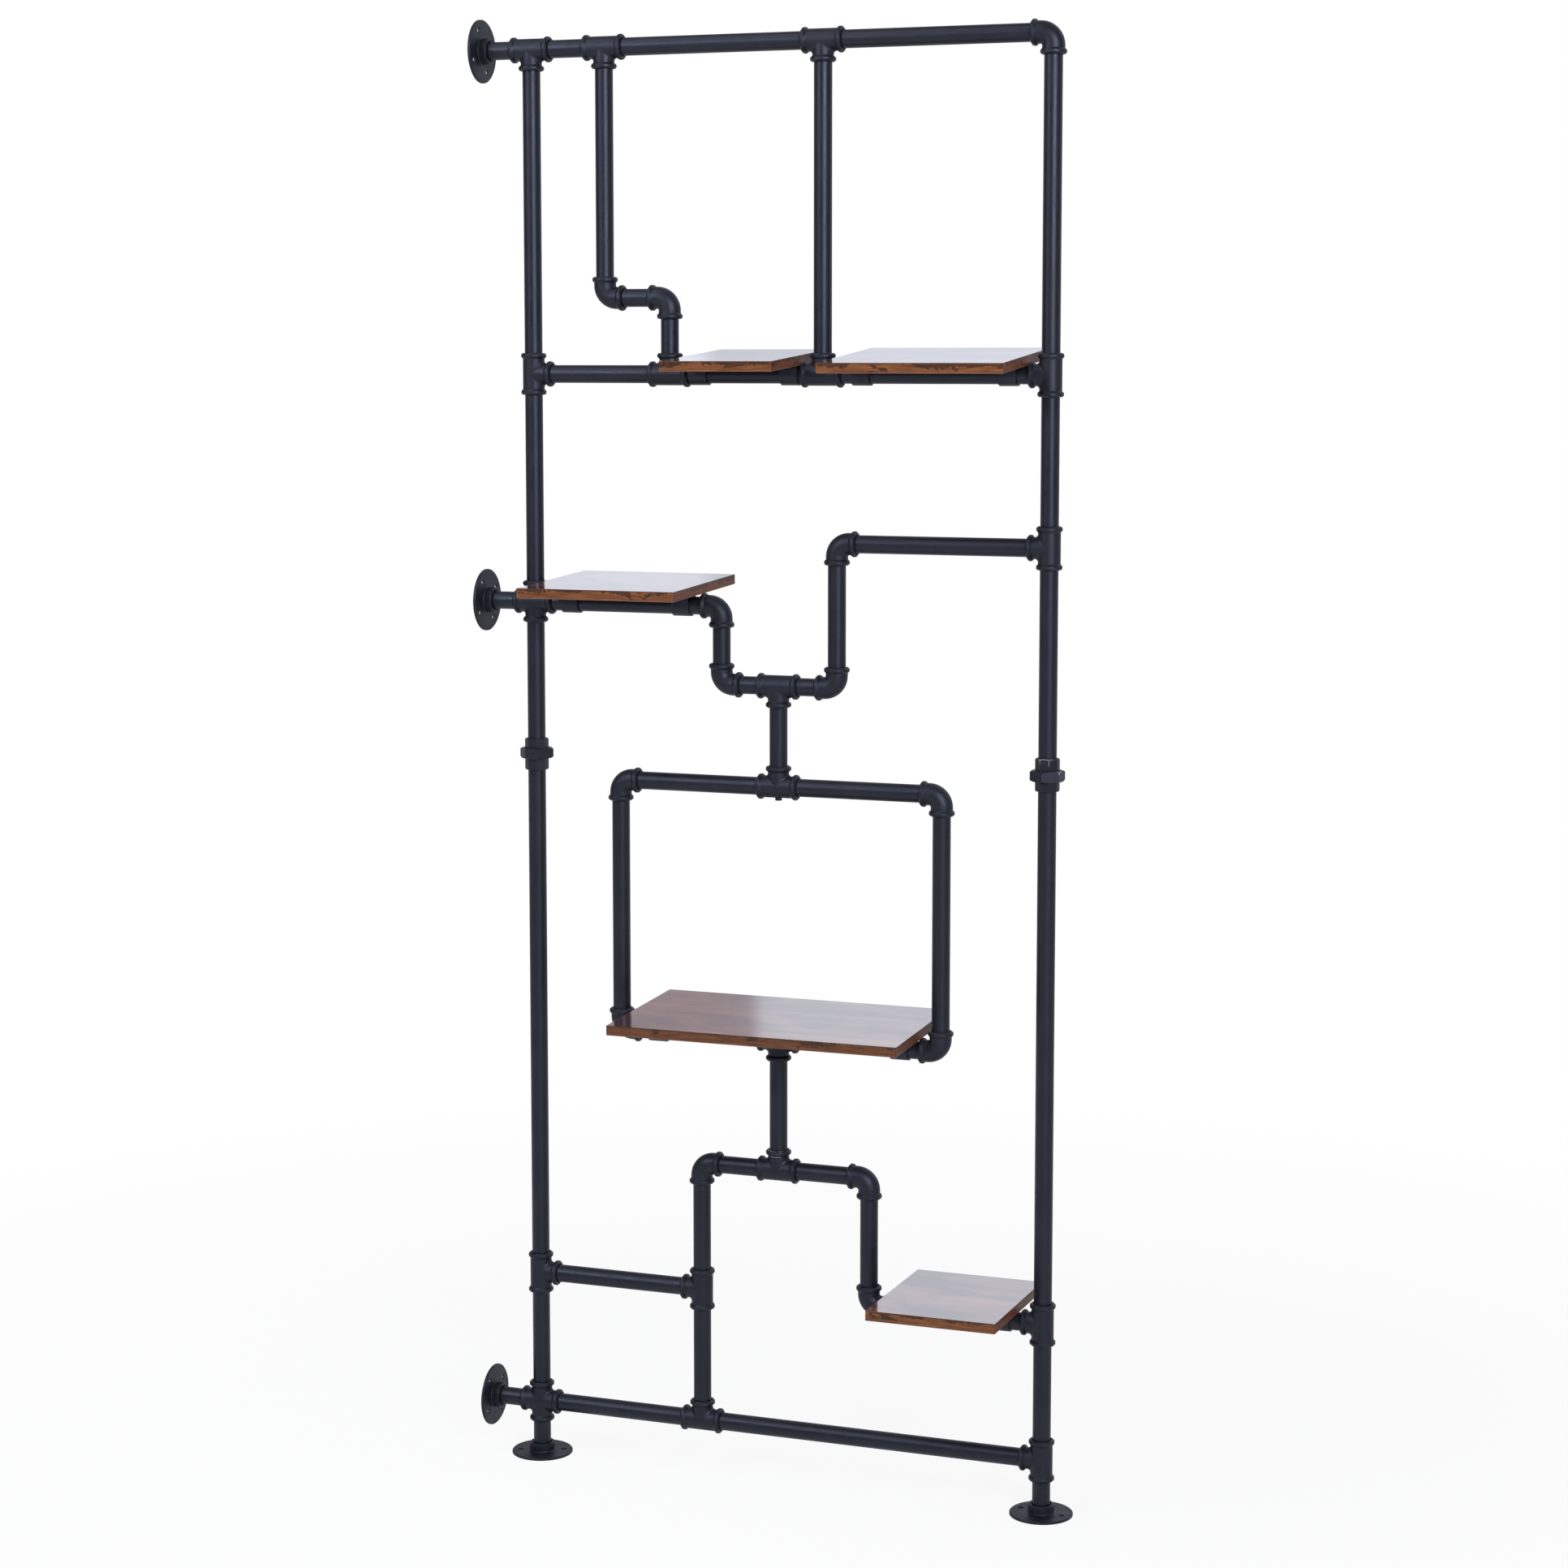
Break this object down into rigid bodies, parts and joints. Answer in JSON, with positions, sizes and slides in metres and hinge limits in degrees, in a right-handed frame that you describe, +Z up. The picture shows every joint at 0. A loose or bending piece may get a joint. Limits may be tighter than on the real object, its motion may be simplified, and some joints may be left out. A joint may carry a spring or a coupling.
{
  "type": "pipe shelving unit",
  "caption": "Tall open shelving unit: black pipes and beaded fittings in an upright plane, short wood boards laid across them, flanges for wall and floor.",
  "frame": {"origin": "on the floor, under the centre of the whole unit's bounding box; the frame's pipes lie in the XZ plane", "axes": "+Z up, +X along the frame away from the wall that its three wall flanges screw to, +Y through the frame from front to back"},
  "size_m": [0.7475, 0.202, 1.7585],
  "materials": {
    "pipe": "satin black coating",
    "fitting": "black coated malleable casting, fine cast grain",
    "flange": "grey-black coated casting with a soft sheen",
    "board": "glossy rustic brown wood-grain laminate",
    "strap": "black coated bent steel",
    "screw": "black oxide"
  },
  "bodies": {
    "root": {"bottom_rail_cross": "fitting", "bottom_rail_right_pipe": "pipe", "bottom_rail_tees": "fitting", "box_board": "board", "box_elbows": "fitting", "box_hanger_nipple": "pipe", "box_rail_pipes": "pipe", "box_side_pipes": "pipe", "box_top_tee": "fitting", "centre_drop_pipe": "pipe", "centre_drop_tees": "fitting", "drop_elbows": "fitting", "drop_rail_nipples": "pipe", "drop_side_pipes": "pipe", "first_drop_pipe": "pipe", "flange_nipples": "pipe", "floor_flange_left": "flange", "floor_flange_right": "flange", "left_pole_shelf_pipe": "pipe", "left_pole_union_pipe": "pipe", "long_pole_pipes": "pipe", "long_rail_pipes": "pipe", "low_straps": "strap", "lower_board": "board", "lower_rail_pipes": "pipe", "lower_rail_tees": "fitting", "middle_board": "board", "middle_shelf_cross": "fitting", "middle_shelf_pipe": "pipe", "offset_elbows": "fitting", "offset_nipple": "pipe", "right_pole_shelf_pipe": "pipe", "right_pole_union_pipe": "pipe", "short_drop_nipples": "pipe", "short_riser_pipes": "pipe", "step_elbows": "fitting", "step_high_pipe": "pipe", "step_low_nipples": "pipe", "step_riser_pipe": "pipe", "step_tees": "fitting", "strap_screws": "screw", "tall_straps": "strap", "top_corner_elbow": "fitting", "top_left_board": "board", "top_rail_nipple": "pipe", "top_rail_tees": "fitting", "top_right_board": "board", "union_nut_left": "fitting", "union_nut_right": "fitting", "union_tail_end_left": "fitting", "union_tail_end_right": "fitting", "union_thread_end_left": "fitting", "union_thread_end_right": "fitting", "upper_drop_pipes": "pipe", "upper_rail_left_pipe": "pipe", "upper_rail_middle_pipe": "pipe", "upper_rail_tees": "fitting", "wall_flange_bottom": "flange", "wall_flange_middle": "flange", "wall_flange_top": "flange"}
  },
  "joints": []
}
